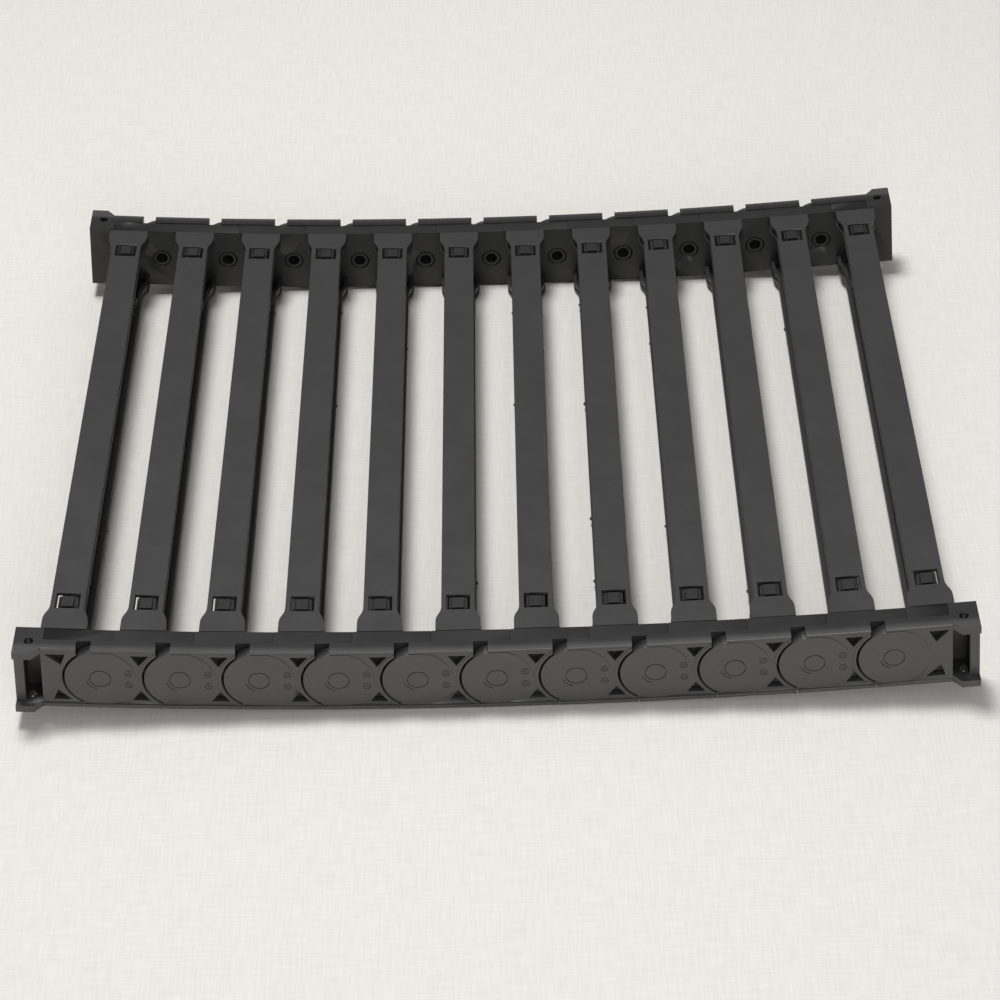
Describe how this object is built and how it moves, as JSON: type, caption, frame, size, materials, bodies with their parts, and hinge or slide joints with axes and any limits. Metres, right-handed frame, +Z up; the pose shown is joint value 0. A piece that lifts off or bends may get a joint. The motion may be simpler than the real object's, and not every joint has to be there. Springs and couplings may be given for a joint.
{
  "type": "cable drag chain",
  "caption": "Wide open cable chain: offset side plates on moulded pivots, clipped crossbars above and below, and a screw bracket at each end.",
  "frame": {"origin": "on the surface the chain lies on, under the middle of the chain, half way between the two side bands", "axes": "+X along the chain from the start bracket to the end bracket, +Y to the left across the chain, +Z up, the side the chain bends towards"},
  "size_m": [0.6834, 0.5576, 0.07],
  "materials": {
    "side_band": "satin moulded glass-filled nylon",
    "crossbar": "satin moulded glass-filled nylon, slightly duller than the side plates"
  },
  "bodies": {
    "start": {"start_bracket_left": "side_band", "start_bracket_right": "side_band", "start_top_bar": "crossbar", "start_bottom_bar": "crossbar"},
    "link_01": {"link_01_plate_left": "side_band", "link_01_plate_right": "side_band", "link_01_top_bar": "crossbar", "link_01_bottom_bar": "crossbar"},
    "link_02": {"link_02_plate_left": "side_band", "link_02_plate_right": "side_band", "link_02_top_bar": "crossbar", "link_02_bottom_bar": "crossbar"},
    "link_03": {"link_03_plate_left": "side_band", "link_03_plate_right": "side_band", "link_03_top_bar": "crossbar", "link_03_bottom_bar": "crossbar"},
    "link_04": {"link_04_plate_left": "side_band", "link_04_plate_right": "side_band", "link_04_top_bar": "crossbar", "link_04_bottom_bar": "crossbar"},
    "link_05": {"link_05_plate_left": "side_band", "link_05_plate_right": "side_band", "link_05_top_bar": "crossbar", "link_05_bottom_bar": "crossbar"},
    "link_06": {"link_06_plate_left": "side_band", "link_06_plate_right": "side_band", "link_06_top_bar": "crossbar", "link_06_bottom_bar": "crossbar"},
    "link_07": {"link_07_plate_left": "side_band", "link_07_plate_right": "side_band", "link_07_top_bar": "crossbar", "link_07_bottom_bar": "crossbar"},
    "link_08": {"link_08_plate_left": "side_band", "link_08_plate_right": "side_band", "link_08_top_bar": "crossbar", "link_08_bottom_bar": "crossbar"},
    "link_09": {"link_09_plate_left": "side_band", "link_09_plate_right": "side_band", "link_09_top_bar": "crossbar", "link_09_bottom_bar": "crossbar"},
    "link_10": {"link_10_plate_left": "side_band", "link_10_plate_right": "side_band", "link_10_top_bar": "crossbar", "link_10_bottom_bar": "crossbar"},
    "end": {"end_bracket_left": "side_band", "end_bracket_right": "side_band", "end_top_bar": "crossbar", "end_bottom_bar": "crossbar"}
  },
  "joints": [
    {"name": "pivot_01", "type": "hinge", "parent": "start", "child": "link_01", "pos_m": [-0.27979, 0, 0.03761], "axis": [0, -1, 0], "range_deg": [0, 20.6]},
    {"name": "pivot_02", "type": "hinge", "parent": "link_01", "child": "link_02", "pos_m": [-0.22389, 0, 0.03418], "axis": [0, -1, 0], "range_deg": [0, 20.6]},
    {"name": "pivot_03", "type": "hinge", "parent": "link_02", "child": "link_03", "pos_m": [-0.16795, 0, 0.03151], "axis": [0, -1, 0], "range_deg": [0, 20.6]},
    {"name": "pivot_04", "type": "hinge", "parent": "link_03", "child": "link_04", "pos_m": [-0.11199, 0, 0.02961], "axis": [0, -1, 0], "range_deg": [0, 20.6]},
    {"name": "pivot_05", "type": "hinge", "parent": "link_04", "child": "link_05", "pos_m": [-0.056, 0, 0.02846], "axis": [0, -1, 0], "range_deg": [0, 20.6]},
    {"name": "pivot_06", "type": "hinge", "parent": "link_05", "child": "link_06", "pos_m": [0, 0, 0.02808], "axis": [0, -1, 0], "range_deg": [0, 20.6]},
    {"name": "pivot_07", "type": "hinge", "parent": "link_06", "child": "link_07", "pos_m": [0.056, 0, 0.02846], "axis": [0, -1, 0], "range_deg": [0, 20.6]},
    {"name": "pivot_08", "type": "hinge", "parent": "link_07", "child": "link_08", "pos_m": [0.11199, 0, 0.02961], "axis": [0, -1, 0], "range_deg": [0, 20.6]},
    {"name": "pivot_09", "type": "hinge", "parent": "link_08", "child": "link_09", "pos_m": [0.16795, 0, 0.03151], "axis": [0, -1, 0], "range_deg": [0, 20.6]},
    {"name": "pivot_10", "type": "hinge", "parent": "link_09", "child": "link_10", "pos_m": [0.22389, 0, 0.03418], "axis": [0, -1, 0], "range_deg": [0, 20.6]},
    {"name": "pivot_11", "type": "hinge", "parent": "link_10", "child": "end", "pos_m": [0.27979, 0, 0.03761], "axis": [0, -1, 0], "range_deg": [0, 20.6]}
  ]
}
